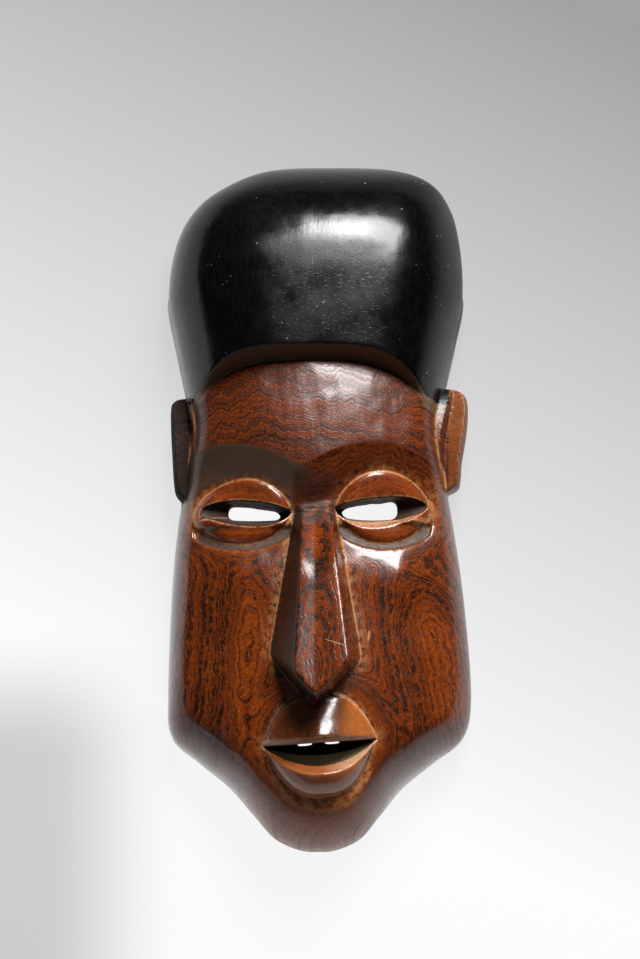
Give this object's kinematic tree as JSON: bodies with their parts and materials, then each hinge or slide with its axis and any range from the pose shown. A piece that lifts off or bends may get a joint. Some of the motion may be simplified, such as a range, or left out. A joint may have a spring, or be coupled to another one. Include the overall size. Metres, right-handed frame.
{
  "type": "carved wooden face mask",
  "caption": "Long carved wooden face mask with a tall black-painted head of hair, pierced eyes, wedge nose, open mouth, small side ears and a hollow back, lying face up on its flat rim.",
  "frame": {"origin": "middle of the mask's length and width, on the plane of its flat back rim", "axes": "+Z out of the face, +Y towards the crown, +X towards the ear that a viewer sees on the right"},
  "size_m": [0.1798, 0.409, 0.0998],
  "materials": {
    "carved_wood": "polished red-brown hardwood with dark figured grain; the hair is painted satin black"
  },
  "bodies": {
    "root": {"mask": "carved_wood"}
  },
  "joints": []
}
